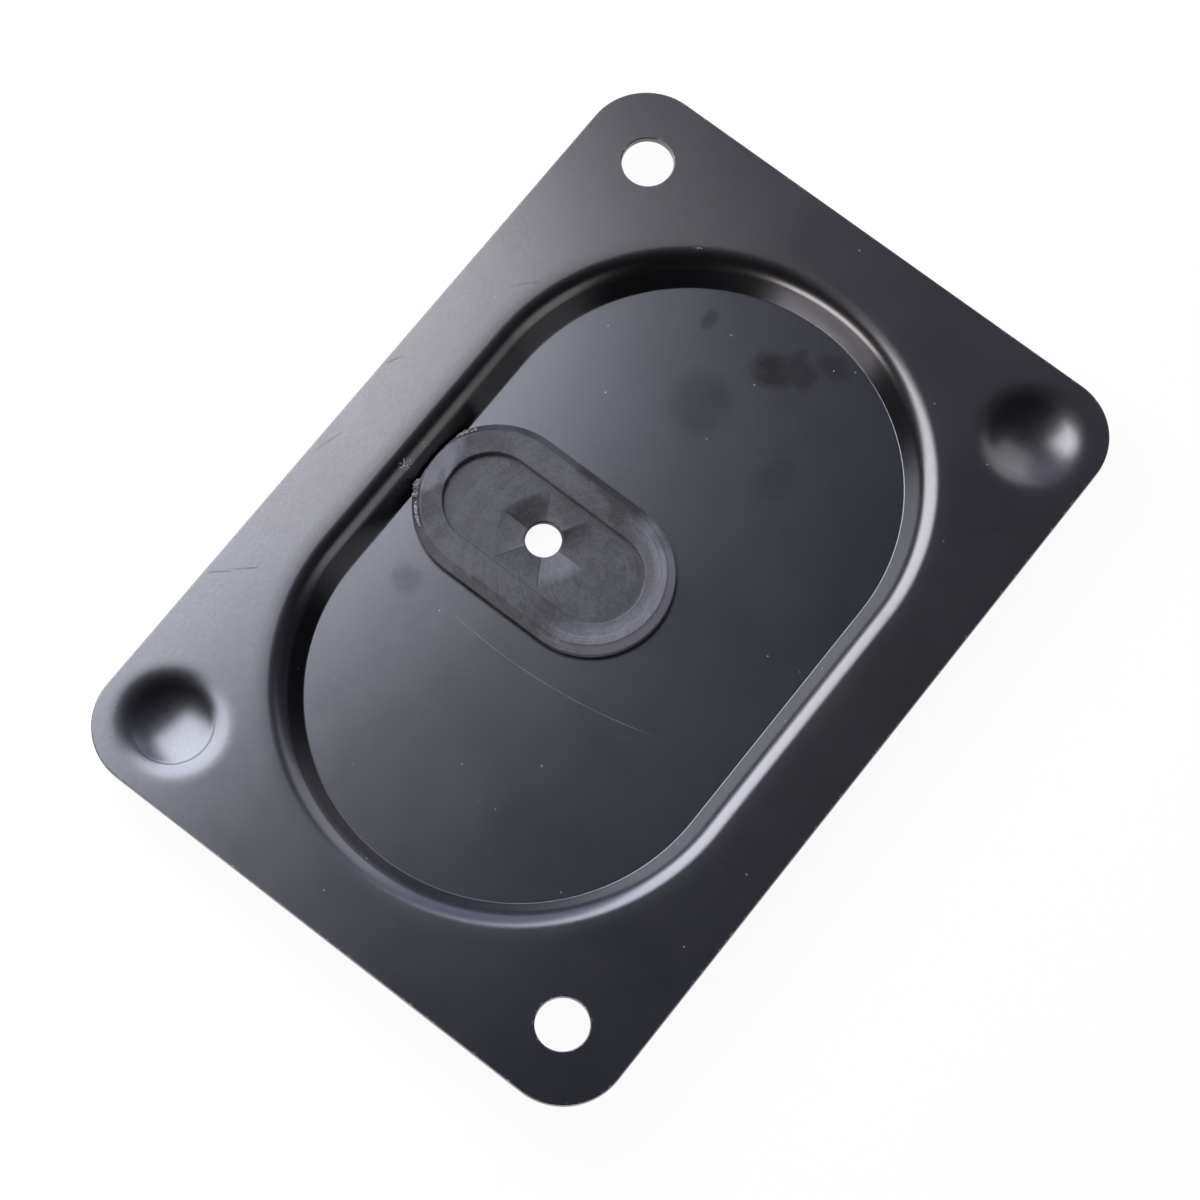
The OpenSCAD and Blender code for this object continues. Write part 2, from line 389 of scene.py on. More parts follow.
def filleted(corners, arc_step=math.radians(15)):
    """Runs of (distance, height, normal angle) along a section, each corner (distance, height, radius).

    The outer side is on the left of the way along it. A corner without a radius ends a run."""
    points = [np.array(c[:2], float) for c in corners]
    ways = [math.atan2(*(b - a)[::-1]) for a, b in zip(points, points[1:])]
    turns = [(b - a + math.pi) % (2 * math.pi) - math.pi for a, b in zip(ways, ways[1:])]
    quarter = math.pi / 2
    heading = ways[0]
    runs, run = [], [(*points[0], heading + quarter)]
    for (_, _, radius), point, turn in zip(corners[1:], points[1:], turns):
        if radius:
            side = math.copysign(1, turn)
            way = np.array([math.cos(heading), math.sin(heading)])
            left = np.array([-way[1], way[0]])
            middle = point - way * radius * math.tan(abs(turn) / 2) + left * side * radius
            steps = max(2, math.ceil(abs(turn) / arc_step))
            for k in range(steps + 1):
                angle = heading + quarter + turn * k / steps
                arm = np.array([math.cos(angle), math.sin(angle)])
                run.append((*(middle - side * radius * arm), angle))
            heading += turn
        else:
            run.append((*point, heading + quarter))
            runs.append(run)
            heading += turn
            run = [(*point, heading + quarter)]
    run.append((*points[-1], heading + quarter))
    return [*runs, run]


def no_trim(points):
    return points, np.zeros(len(points), bool), None


def sweep(shell, around, runs, wear=0.0, trim=no_trim):
    """Sweeps section runs round a spine, and returns the first and last loop, which have no wear."""
    foot, out = around
    start, held, before = None, None, None
    for run in runs:
        for i, (distance, height, angle) in enumerate(run):
            at_end = held is None or (run is runs[-1] and i == len(run) - 1)
            place = np.column_stack([foot + distance * out, np.full(len(foot), height)])
            place, cut, cut_normal = trim(place)
            normals = np.column_stack([out * math.cos(angle), np.full(len(out), math.sin(angle))])
            loop = shell.add(place, 0.0 if at_end else wear) if i or held is None else held
            start = start or loop
            if i:
                old_loop, old_normals, old_cut = before
                if cut.any() and old_cut.any():
                    trimmed_strip(shell, before, (loop, normals, cut), cut_normal)
                else:
                    shell.strip(old_loop, loop, old_normals, normals)
            before = (loop, normals, cut)
            held = loop
    return start, held


def trimmed_strip(shell, before, after, cut_normal):
    """A strip whose quads take the cut's own normal where all their corners lie in the cut."""
    (a, normals_a, cut_a), (b, normals_b, cut_b) = before, after
    count = len(a)
    for i in range(count):
        j = (i + 1) % count
        corners = (a[i], b[i], b[j], a[j])
        if cut_a[i] and cut_b[i] and cut_b[j] and cut_a[j]:
            shell.face(corners, [cut_normal] * 4)
        else:
            shell.face(corners, (normals_a[i], normals_b[i], normals_b[j], normals_a[j]))


def soft_shoulder(middle_x, radius, steep, lip_end, steps):
    """Stations (distance, height, slope) from a roll's steep end out to the flat flange, which is at 0."""
    meet = middle_x - radius * math.sin(LIP_FALL)
    reach = lip_end - meet
    sag = LIP_FALL * reach / 3
    stations = []
    for k in range(steps + 1):
        slope = steep + (LIP_FALL - steep) * k / steps
        drop = sag + radius * (math.cos(LIP_FALL) - math.cos(slope))
        stations.append((middle_x - radius * math.sin(slope), -drop, slope))
    fade_steps = 8
    for k in range(1, fade_steps + 1):
        left = 1 - k / fade_steps
        stations.append((lip_end - reach * left, -sag * left**3, LIP_FALL * left**2))
    return stations


def recess_stations():
    """The recess's upper surface from the floor outwards: (distance, height below the flange, slope)."""
    half = FLOOR_W / 2
    drop = SHOULDER_R * (1 - math.cos(WALL_ANGLE))
    wall_top = half + (RECESS_DEPTH - drop) / math.tan(WALL_ANGLE)
    middle_x = wall_top + SHOULDER_R * math.sin(WALL_ANGLE)
    crease_x = half - CREASE_R * math.tan(WALL_ANGLE / 2)
    crease_steps = 10
    stations = []
    for k in range(crease_steps + 1):
        slope = WALL_ANGLE * k / crease_steps
        stations.append((
            crease_x + CREASE_R * math.sin(slope),
            -RECESS_DEPTH + CREASE_R * (1 - math.cos(slope)),
            slope,
        ))
    shoulder = soft_shoulder(middle_x, SHOULDER_R, WALL_ANGLE, RECESS_LIP_END, 26)
    foot, head = stations[-1], shoulder[0]
    wall_steps = 3
    for k in range(1, wall_steps):
        t = k / wall_steps
        stations.append((foot[0] + t * (head[0] - foot[0]), foot[1] + t * (head[1] - foot[1]), WALL_ANGLE))
    return stations + shoulder


def dimple_stations():
    """A dimple's upper surface from near its axis outwards."""
    bowl_z = BOWL_R - DIMPLE_DEPTH
    reach = BOWL_R + DIMPLE_LIP_R
    lip_x = math.sqrt(reach**2 - (bowl_z + DIMPLE_LIP_R) ** 2)
    steepest = math.asin(lip_x / reach)
    bowl_steps = 22
    stations = []
    for k in range(1, bowl_steps):
        slope = steepest * k / bowl_steps
        stations.append((BOWL_R * math.sin(slope), bowl_z - BOWL_R * math.cos(slope), slope))
    return stations + soft_shoulder(lip_x, DIMPLE_LIP_R, steepest, DIMPLE_LIP_END, 18)


def upper_run(stations):
    return [(d, FLANGE_Z + z, math.pi / 2 + s) for d, z, s in stations]


def under_run(stations):
    """The same sheet's lower surface, from the flange inwards."""
    return [
        (d + SHEET_T * math.sin(s), FLANGE_Z + z - SHEET_T * math.cos(s), math.pi * 1.5 + s)
        for d, z, s in reversed(stations)
    ]


def sheared_edge(distance, top):
    """Section down an outer sheared edge, rolled at the top and slightly broken below."""
    return filleted([
        (distance - 2 * TOP_ROLL_R, top, 0),
        (distance, top, TOP_ROLL_R),
        (distance, top - SHEET_T, UNDER_ROLL_R),
        (distance - 2 * TOP_ROLL_R, top - SHEET_T, 0),
    ])


def punched_edge(distance, top):
    """Section up the wall of a punched hole."""
    return filleted([
        (distance + 2 * TOP_ROLL_R, top - SHEET_T, 0),
        (distance, top - SHEET_T, UNDER_ROLL_R),
        (distance, top, TOP_ROLL_R),
        (distance + 2 * TOP_ROLL_R, top, 0),
    ])


def build_plate():
    """The one-piece pressing, both faces and all sheared edges."""
    shell = Shell()
    half_w, half_len = PLATE_W / 2 - CORNER_R, PLATE_LEN / 2 - CORNER_R
    rim = spine([(half_w, half_len), (-half_w, half_len), (-half_w, -half_len), (half_w, -half_len)])
    rim_top, rim_under = sweep(shell, rim, sheared_edge(CORNER_R, FLANGE_Z), wear=0.4)

    run = (FLOOR_LEN - FLOOR_W) / 2
    recess = spine([(0, run), (0, -run)])
    stations = recess_stations()
    floor_top, flange_top = sweep(shell, recess, [upper_run(stations)])
    flange_under, floor_under = sweep(shell, recess, [under_run(stations)])

    top_holes, under_holes = [flange_top], [flange_under]
    for side in (1, -1):
        place = (side * PATTERN_W / 2, side * PATTERN_LEN / 2)
        ring = spine([place], SMALL_ARC_STEP)
        stations = dimple_stations()
        upward, downward = (0, 0, 1), (0, 0, -1)
        inner, outer = sweep(shell, ring, [upper_run(stations)])
        near_axis = [shell_normal(ring, i, stations[0][2], 1) for i in range(len(inner))]
        shell.cap(inner, (*place, FLANGE_Z - DIMPLE_DEPTH), upward, near_axis)
        top_holes.append(outer)
        outer, inner = sweep(shell, ring, [under_run(stations)])
        near_axis = [shell_normal(ring, i, stations[0][2], -1) for i in range(len(inner))]
        shell.cap(inner[::-1], (*place, FLANGE_Z - DIMPLE_DEPTH - SHEET_T), downward, near_axis[::-1])
        under_holes.append(outer)

        place = (-side * PATTERN_W / 2, side * PATTERN_LEN / 2)
        ring = spine([place], SMALL_ARC_STEP)
        low, high = sweep(shell, ring, punched_edge(BOLT_HOLE_R, FLANGE_Z), wear=0.5)
        top_holes.append(high)
        under_holes.append(low)

    slot_r = GROMMET_W / 2 - GROOVE_DEPTH + SLOT_GAP
    slot = grommet_spine()
    low, high = sweep(shell, slot, punched_edge(slot_r, FLOOR_Z), wear=1.0)
    shell.fill(floor_top, [high], up=True)
    shell.fill(floor_under, [low], up=False)
    shell.fill(rim_top, top_holes, up=True)
    shell.fill(rim_under, under_holes, up=False)
    return shell.build("cover_pressing")


def shell_normal(around, i, slope, side):
    """Normal of the upper (1) or lower (-1) face where the sheet rises outwards at a slope."""
    out = around[1][i]
    return (-side * out[0] * math.sin(slope), -side * out[1] * math.sin(slope), side * math.cos(slope))


def grommet_spine():
    run = (GROMMET_LEN - GROMMET_W) / 2
    return spine([(GROMMET_X + run, 0), (GROMMET_X - run, 0)], math.radians(3), 1.5 * MM)


def trim_to_wall(points):
    """Moves points of the upper flange back to the plane where it is trimmed beside the recess wall."""
    half = FLOOR_W / 2 - TRIM_GAP / math.sin(WALL_ANGLE)
    limit = -half - (points[:, 2] - FLOOR_Z) / math.tan(WALL_ANGLE)
    cut = (points[:, 0] < limit) & (points[:, 2] > FLOOR_Z - MM * 0.01)
    points = points.copy()
    points[cut, 0] = limit[cut]
    return points, cut, (-math.sin(WALL_ANGLE), 0, -math.cos(WALL_ANGLE))


def subdivided(runs, longest):
    """Adds stations so that no stretch that rises or falls is longer than a given length."""
    made = []
    for run in runs:
        new = [run[0]]
        for station in run[1:]:
            last = np.array(new[-1])
            way = np.array(station) - last
            level = abs(way[1]) < MM * 0.001
            steps = 1 if level else math.ceil(math.hypot(*way[:2]) / longest)
            new += [tuple(last + way * k / steps) for k in range(1, steps + 1)]
        made.append(new)
    return made


class Funnel:
    """The creased funnel round the cable hole: six facets between creases of different depth."""

    PER_FACE = 14
    FALL = 1.15

    def __init__(self, inner_r):
        reach_y = GROMMET_W / 2 - GROOVE_DEPTH - SIDE_WALL - FUNNEL_CLEAR
        self.inner_r = inner_r
        self.corners = np.array([
            (CREASE_REACH, 0),
            (CREASE_SPREAD, reach_y),
            (-CREASE_SPREAD, reach_y),
            (-CREASE_REACH, 0),
            (-CREASE_SPREAD, -reach_y),
            (CREASE_SPREAD, -reach_y),
        ])
        self.ends = np.array([
            a + (b - a) * k / self.PER_FACE
            for a, b in zip(self.corners, np.roll(self.corners, -1, 0))
            for k in range(self.PER_FACE)
        ])

    def depth(self, face, place):
        """Depth below the panel at a place, as the facet with that number has it."""
        a, b = self.corners[face], self.corners[(face + 1) % 6]
        along = b - a
        scale = (place[0] * along[1] - place[1] * along[0]) / (a[0] * along[1] - a[1] * along[0])
        share = np.clip(((place / scale - a) @ along) / (along @ along), 0, 1)
        edge = np.linalg.norm(a + along * share)
        left = np.clip((edge - np.linalg.norm(place)) / (edge - self.inner_r), 0, 1.2)
        rim_depth = CREASE_DEPTHS[face] * (1 - share) + CREASE_DEPTHS[(face + 1) % 6] * share
        return rim_depth * left**self.FALL

    def normal(self, face, place):
        step = 0.02 * MM
        here = place * (1 - 2 * step / np.linalg.norm(place))
        slopes = [
            (self.depth(face, here + way) - self.depth(face, here - way)) / (2 * step)
            for way in (np.array([step, 0]), np.array([0, step]))
        ]
        n = np.array([*slopes, 1.0])
        return n / np.linalg.norm(n)


def build_panel(shell, wall_foot, ceiling_edge, panel_z, under_z):
    """The sunk panel: a flat field, a creased six-sided funnel and the round hole in its middle."""
    rim_r = 0.25 * MM
    start_r = CABLE_HOLE_R + rim_r
    funnel = Funnel(start_r)
    count = len(funnel.ends)
    reach = np.linalg.norm(funnel.ends, axis=1)
    ways = funnel.ends / reach[:, None]
    middle = np.array([GROMMET_X, 0])
    levels = 9
    rim_steps = 4

    def sunk(flat):
        return [panel_z - funnel.depth(i // funnel.PER_FACE, place) for i, place in enumerate(flat)]

    loops, flats = [], []
    for k in range(levels + 1):
        radius = start_r + (reach - start_r) * k / levels
        flat = ways * radius[:, None]
        loops.append(shell.add(np.column_stack([flat + middle, sunk(flat)])))
        flats.append(flat)
    for a, b, flat_a, flat_b in zip(loops, loops[1:], flats, flats[1:]):
        for i in range(count):
            j = (i + 1) % count
            places = (flat_a[i], flat_b[i], flat_b[j], flat_a[j])
            face = i // funnel.PER_FACE
            shell.face((a[i], b[i], b[j], a[j]), [funnel.normal(face, place) for place in places])
    shell.fill(wall_foot, [loops[-1]], up=True, step=2 * MM)

    # The hole's rolled rim, its wall and the flat ceiling of the hollow below
    rim_heights = np.array(sunk(flats[0]))
    rings, angles = [loops[0]], [math.pi / 2]
    for k in range(1, rim_steps + 1):
        angle = math.pi / 2 + math.pi / 2 * k / rim_steps
        radius = start_r + rim_r * math.cos(angle)
        heights = rim_heights - rim_r * (1 - math.sin(angle))
        rings.append(shell.add(np.column_stack([ways * radius + middle, heights])))
        angles.append(angle)
    rings.append(shell.add(np.column_stack([ways * CABLE_HOLE_R + middle, np.full(count, under_z)])))
    angles.append(math.pi)
    for outer, inner, high, low in zip(rings, rings[1:], angles, angles[1:]):
        facing = [
            np.column_stack([ways * math.cos(a), np.full(count, math.sin(a))])
            for a in (high, low)
        ]
        shell.strip(inner, outer, facing[1], facing[0])
    shell.fill(ceiling_edge, [rings[-1]], up=False, step=2 * MM)


def dished_ring(inner_r, inner_run, inner_z, outer_r, outer_run, outer_z):
    """Shape of the flange's face: it rises evenly from the rim of the sunk panel to its outer rim."""
    def from_spine(x, y, run):
        away = np.array([x - GROMMET_X - np.clip(x - GROMMET_X, -run, run), y])
        return away, np.linalg.norm(away)

    def shape(x, y):
        away, far = from_spine(x, y, outer_run)
        inward = max(from_spine(x, y, inner_run)[1] - inner_r, 0)
        share = inward / (inward + max(outer_r - far, 0) + 1e-12)
        normal = (*(-away / far * math.sin(DISH_ANGLE)), math.cos(DISH_ANGLE))
        return inner_z + (outer_z - inner_z) * share, normal

    return shape


def build_grommet():
    """The moulded grommet as one closed solid: flange, neck, lower lip and sunk panel."""
    shell = Shell()
    half = GROMMET_W / 2
    neck = half - GROOVE_DEPTH
    lip = half - LIP_INSET
    panel = neck - SIDE_WALL
    panel_z = GROMMET_TOP - PANEL_DEPTH
    under_z = panel_z - PANEL_T
    outer_run = (GROMMET_LEN - GROMMET_W) / 2
    panel_run = outer_run + SIDE_WALL - END_WALL
    crest = half - SLOPE_W
    face_out = crest - 1 * MM
    face_in = panel + 2 * EDGE_R
    rise = math.tan(DISH_ANGLE)
    panel_rim_z = GROMMET_TOP - (crest - panel) * rise
    face_in_z = panel_rim_z + 2 * EDGE_R * rise
    face_out_z = GROMMET_TOP - 1 * MM * rise
    outside = filleted([
        (face_out, face_out_z, 0),
        (crest, GROMMET_TOP, SOFT_R),
        (half, GROMMET_TOP - SLOPE_H, SOFT_R),
        (half, FLOOR_Z, 0),
        (neck, FLOOR_Z, 0),
        (neck, SHEET_UNDER_Z, 0),
        (lip, SHEET_UNDER_Z, EDGE_R),
        (lip, LIP_CHAMFER, EDGE_R),
        (lip - LIP_CHAMFER, 0, EDGE_R),
        (lip - LIP_CHAMFER - 1 * MM, 0, 0),
    ])
    ring_top, ring_under = sweep(
        shell, grommet_spine(), subdivided(outside, 0.25 * MM), trim=trim_to_wall
    )
    foot = panel - FUNNEL_CLEAR / 2
    ends = [(GROMMET_X + panel_run, 0), (GROMMET_X - panel_run, 0)]
    around = spine(ends, math.radians(3), 1.5 * MM)
    wall_foot, wall_top = sweep(shell, around, filleted([
        (foot, panel_z, 0),
        (panel, panel_z, FOOT_R),
        (panel, panel_rim_z, EDGE_R),
        (face_in, face_in_z, 0),
    ]))
    hollow_edge, ceiling_edge = sweep(shell, around, filleted([
        (panel + 2 * EDGE_R, 0, 0),
        (panel, 0, EDGE_R),
        (panel, under_z, FOOT_R),
        (foot, under_z, 0),
    ]))
    dish = dished_ring(face_in, panel_run, face_in_z, face_out, outer_run, face_out_z)
    shell.fill(ring_top, [wall_top], up=True, step=1.2 * MM, shape=dish)
    shell.fill(ring_under, [hollow_edge], up=False, step=2 * MM)
    build_panel(shell, wall_foot, ceiling_edge, panel_z, under_z)
    return shell.build("grommet_moulding")


def build_flash():
    """Torn skins of rubber left along the upper flange's rim beside its trimmed end."""
    shell = Shell()
    chance = np.random.default_rng(FLASH_SEED)
    run = (GROMMET_LEN - GROMMET_W) / 2
    for first, last, size in FLASH_STRETCHES:
        count = last - first
        base, sizes = [], []
        for k in range(count + 1):
            angle = math.radians(first + (last - first) * k / count)
            out = np.array([math.cos(angle), math.sin(angle)])
            taper = size * math.sin(math.pi * (k + 0.5) / (count + 1)) ** 0.5
            base.append((np.array([GROMMET_X - run, 0]) + out * (GROMMET_W / 2 - SLOPE_W * FLASH_SEAT), out))
            sizes.append((taper * chance.uniform(0.3, 1.0), taper * chance.uniform(0.2, 1.0)))
        rings = []
        for (place, out), (width, height) in zip(base, sizes):
            seat = GROMMET_TOP - SLOPE_H * FLASH_SEAT
            section = [
                (-0.3, -0.3),
                (0.25 + 0.4 * width, -0.3),
                (0.2 + 0.6 * width, 0.15 + 0.45 * height),
                (-0.1, 0.2 + 0.3 * height),
            ]
            points = [(*(place + out * across * MM), seat + up * MM) for across, up in section]
            points = trim_to_wall(np.array(points))[0]
            rings.append(shell.add(points, wear=1.0))
        for a, b in zip(rings, rings[1:]):
            for i in range(4):
                j = (i + 1) % 4
                shell.flat_face((a[i], a[j], b[j], b[i]))
        shell.flat_face(tuple(rings[0][::-1]))
        shell.flat_face(tuple(rings[-1]))
    return shell.build("grommet_flash")


def build_camera():
    camera = bpy.data.objects.new("camera", bpy.data.cameras.new("camera"))
    right = CAMERA_SIGHT.cross(CAMERA_UP).normalized()
    up = right.cross(CAMERA_SIGHT).normalized()
    turn = Matrix((right, up, -CAMERA_SIGHT.normalized())).transposed()
    camera.matrix_world = Matrix.Translation(CAMERA_PLACE) @ turn.to_4x4()
    camera.data.lens = CAMERA_LENS
    camera.data.sensor_width = 36
    camera.data.clip_start = 0.01
    bpy.context.scene.collection.objects.link(camera)
    bpy.context.scene.camera = camera


class Graph:
    """Short calls for the nodes of one material or world."""

    def __init__(self, owner):
        owner.use_nodes = True
        self.tree = owner.node_tree
        self.tree.nodes.clear()

    def put(self, socket, value):
        """Links an output to a socket, or sets the socket to a plain value."""
        if isinstance(value, bpy.types.NodeSocket):
            self.tree.links.new(value, socket)
        else:
            socket.default_value = value

    def add(self, kind, settings=None, **inputs):
        node = self.tree.nodes.new("ShaderNode" + kind)
        for key, value in (settings or {}).items():
            setattr(node, key, value)
        for key, value in inputs.items():
            self.put(node.inputs[key.replace("_", " ")], value)
        return node

    def sum(self, operation, *values, clamp=False):
        node = self.add("Math", {"operation": operation, "use_clamp": clamp})
        for socket, value in zip(node.inputs, values):
            self.put(socket, value)
        return node.outputs[0]

    def vector(self, operation, *values):
        node = self.add("VectorMath", {"operation": operation})
        for socket, value in zip(node.inputs, values):
            self.put(socket, value)
        return node.outputs["Value" if operation in ("LENGTH", "DOT_PRODUCT") else "Vector"]

    def scaled(self, vector, factor):
        node = self.add("VectorMath", {"operation": "SCALE"}, Scale=factor)
        self.put(node.inputs[0], vector)
        return node.outputs[0]

    def blend(self, factor, a, b, how="MIX"):
        """Mixes two colours."""
        node = self.add("Mix", {"data_type": "RGBA", "blend_type": how})
        self.put(node.inputs[0], factor)
        for socket, value in ((node.inputs[6], a), (node.inputs[7], b)):
            self.put(socket, (*value, 1) if isinstance(value, tuple) else value)
        return node.outputs[2]

    def fade(self, value, low, high, to_low=0.0, to_high=1.0):
        """Maps low..high to to_low..to_high with a smooth start and end."""
        node = self.add(
            "MapRange", {"interpolation_type": "SMOOTHSTEP"}, Value=value,
            From_Min=low, From_Max=high, To_Min=to_low, To_Max=to_high,
        )
        return node.outputs[0]

    def noise(self, vector, size, detail=2.0, roughness=0.5):
        """Noise from 0 to 1 whose features are about the given size, in the vector's units."""
        node = self.add("TexNoise", Vector=vector, Scale=1 / size, Detail=detail, Roughness=roughness)
        return node.outputs[0]

    def place(self):
        """Where a point of the surface lies, in millimetres."""
        return self.scaled(self.add("TexCoord").outputs["Object"], 1 / MM)

    def product(self, *values):
        result = values[0]
        for value in values[1:]:
            result = self.sum("MULTIPLY", result, value)
        return result

    def largest(self, values):
        result = values[0]
        for value in values[1:]:
            result = self.sum("MAXIMUM", result, value)
        return result

    def scratch(self, place, start, end, bow, width, strength):
        """Mask of a bowed line between two places on the plate, thinning out at both ends."""
        start, end = Vector((*start, 0)), Vector((*end, 0))
        length = (end - start).length
        way = (end - start) / length
        left = Vector((-way.y, way.x, 0))
        away = self.vector("SUBTRACT", place, start)
        share = self.sum("DIVIDE", self.vector("DOT_PRODUCT", away, way), length)
        rest = self.sum("SUBTRACT", 1.0, share)
        bend = self.product(share, rest, 4 * bow)
        gap = self.sum("ABSOLUTE", self.sum("SUBTRACT", self.vector("DOT_PRODUCT", away, left), bend))
        line = self.fade(gap, width * 0.2, width * 0.75, strength, 0.0)
        ends = self.fade(self.sum("MINIMUM", share, rest), 0.0, 0.22)
        return self.product(line, ends)

    def arc(self, place, centre, radius, width, middle, strength):
        """Mask of a thin arc round a centre, to about 75 degrees on both sides of its middle."""
        away = self.vector("SUBTRACT", place, Vector((*centre, 0)))
        away = self.vector("MULTIPLY", away, Vector((1, 1, 0)))
        gap = self.sum("ABSOLUTE", self.sum("SUBTRACT", self.vector("LENGTH", away), radius))
        line = self.fade(gap, width * 0.2, width * 0.75, strength, 0.0)
        way = Vector((math.cos(math.radians(middle)), math.sin(math.radians(middle)), 0))
        side = self.vector("DOT_PRODUCT", self.vector("NORMALIZE", away), way)
        return self.product(line, self.fade(side, 0.1, 0.6))

    def blob(self, place, centre, half_w, half_len, strength):
        """Mask of a soft oval on the plate."""
        away = self.vector("SUBTRACT", place, Vector((*centre, 0)))
        away = self.vector("MULTIPLY", away, Vector((1 / half_w, 1 / half_len, 0)))
        return self.fade(self.vector("LENGTH", away), 0.45, 1.15, strength, 0.0)

    def specks(self, place, spacing, radius, share):
        """Mask of small round grains, one in a share of the cells of a given spacing."""
        cells = self.add("TexVoronoi", Vector=place, Scale=1 / spacing)
        near = self.fade(cells.outputs["Distance"], 0.4 * radius / spacing, radius / spacing, 1.0, 0.0)
        draw = self.add("SeparateColor", Color=cells.outputs["Color"]).outputs[0]
        chosen = self.sum("LESS_THAN", draw, share)
        return self.product(near, chosen)


def paint_material():
    """Black satin paint on sheet steel, with its marks from handling, painted shade of a fold in one dimple
    and a painted reflection tint.
    """
    material = bpy.data.materials.new("black_satin_paint")
    g = Graph(material)
    place = g.place()
    wear = g.add("Attribute", {"attribute_name": "wear"}).outputs["Fac"]

    broad = g.noise(place, 24.0, 2.0)
    patchy = g.noise(place, 4.0, 4.0, 0.65)
    peel = g.noise(place, 0.9, 1.0, 0.5)
    spread = g.sum("ADD", g.product(broad, 0.6), g.product(patchy, 0.4))
    colour = g.blend(g.fade(spread, 0.3, 0.7), PAINT_DARK, PAINT_LIGHT)
    smooth, dull = PAINT_ROUGH - PAINT_ROUGH_SPREAD, PAINT_ROUGH + PAINT_ROUGH_SPREAD
    rough = g.fade(spread, 0.32, 0.68, smooth, dull)

    # Stains and dust have ragged outlines, so their places are shifted by a noise of their own.
    shift = g.add("TexNoise", Vector=place, Scale=0.45, Detail=2.0)
    shift = g.vector("SUBTRACT", shift.outputs["Color"], (0.5, 0.5, 0.5))
    ragged = g.vector("ADD", place, g.scaled(shift, 1.9))
    stain = g.largest([g.blob(ragged, *spot) for spot in STAINS])
    stain = g.product(stain, g.fade(patchy, 0.32, 0.62, 0.58, 1.0))
    grit = g.fade(g.noise(place, 0.38, 1.0), 0.56, 0.64)
    dust = g.product(g.largest([g.blob(ragged, *spot) for spot in DUST]), grit)
    dust = g.sum("MAXIMUM", dust, g.specks(place, 4.0, 0.17, 0.7))

    broken = g.fade(patchy, 0.34, 0.55, 0.35, 1.0)
    bright_line = g.product(g.largest([g.scratch(place, *line) for line in LIGHT_SCRATCHES]), broken)
    scuffs_and_fold_shade = g.product(g.largest([g.scratch(place, *line) for line in DARK_SCRATCHES]), broken)
    # Dark scuffs, and the painted shade of the punch's fold in one dimple
    scuffs_and_fold_shade = g.sum("MAXIMUM", scuffs_and_fold_shade, g.arc(place, *PUNCH_FOLD_SHADE))

    chipped = g.product(wear, g.fade(g.noise(place, 1.3, 3.0, 0.7), 0.56, 0.66))
    colour = g.blend(g.product(wear, 0.35), colour, EDGE_WEAR_COLOUR)
    colour = g.blend(chipped, colour, CHIP_COLOUR)
    colour = g.blend(bright_line, colour, LIGHT_SCRATCH_COLOUR)
    rough = g.sum("ADD", rough, g.product(chipped, 0.12))

    bump = g.add("Bump", Strength=1.0, Distance=PEEL_HEIGHT, Height=peel).outputs[0]

    # Painted reflection colour: the gloss is tinted slightly cool in the recess and along the near side, and
    # warmer elsewhere.
    parts = g.add("SeparateXYZ", Vector=place).outputs
    warm = g.product(g.fade(parts["Z"], 4.0, 8.5), g.fade(parts["Y"], -66.0, 20.0))
    warm = g.sum("ADD", warm, g.fade(patchy, 0.3, 0.7, -0.25, 0.25), clamp=True)
    tint = g.blend(warm, COOL_PAINTED_REFLECTION_TINT, WARM_PAINTED_REFLECTION_TINT)
    # Fine uneven gloss, at the scale of sprayed droplets
    droplets = g.noise(place, DROPLET_SIZE, 2.0, 0.7)
    tint = g.scaled(tint, g.fade(droplets, 0.3, 0.7, 1 - DROPLET_SPREAD, 1 + DROPLET_SPREAD))
    paint = g.add(
        "BsdfPrincipled", Base_Color=colour, Roughness=rough, Specular_IOR_Level=1.0,
        Specular_Tint=tint, Normal=bump,
    ).outputs[0]

    # A dull film covers the gloss where there are stains, scuffs and dust.
    film_colour = g.blend(stain, SCUFF_COLOUR, STAIN_COLOUR)
    film_colour = g.blend(dust, film_colour, DUST_COLOUR)
    film = g.add(
        "BsdfPrincipled", Base_Color=film_colour, Roughness=FILM_ROUGH, Specular_IOR_Level=0.1,
        Normal=bump,
    ).outputs[0]
    cover = g.largest([
        g.product(stain, STAIN_COVER),
        g.product(scuffs_and_fold_shade, SCUFF_COVER),
        g.product(dust, DUST_COVER),
    ])
    surface = g.add("MixShader", Fac=cover)
    g.put(surface.inputs[1], paint)
    g.put(surface.inputs[2], film)
    g.add("OutputMaterial", Surface=surface.outputs[0])
    return material


def funnel_creases():
    """Start and end of each crease of the funnel, in millimetres."""
    middle = np.array([GROMMET_X, 0])
    lines = []
    for corner in Funnel(CABLE_HOLE_R).corners:
        way = corner / np.linalg.norm(corner)
        lines.append([(middle + end) / MM for end in (way * CABLE_HOLE_R * 0.7, corner)])
    return lines


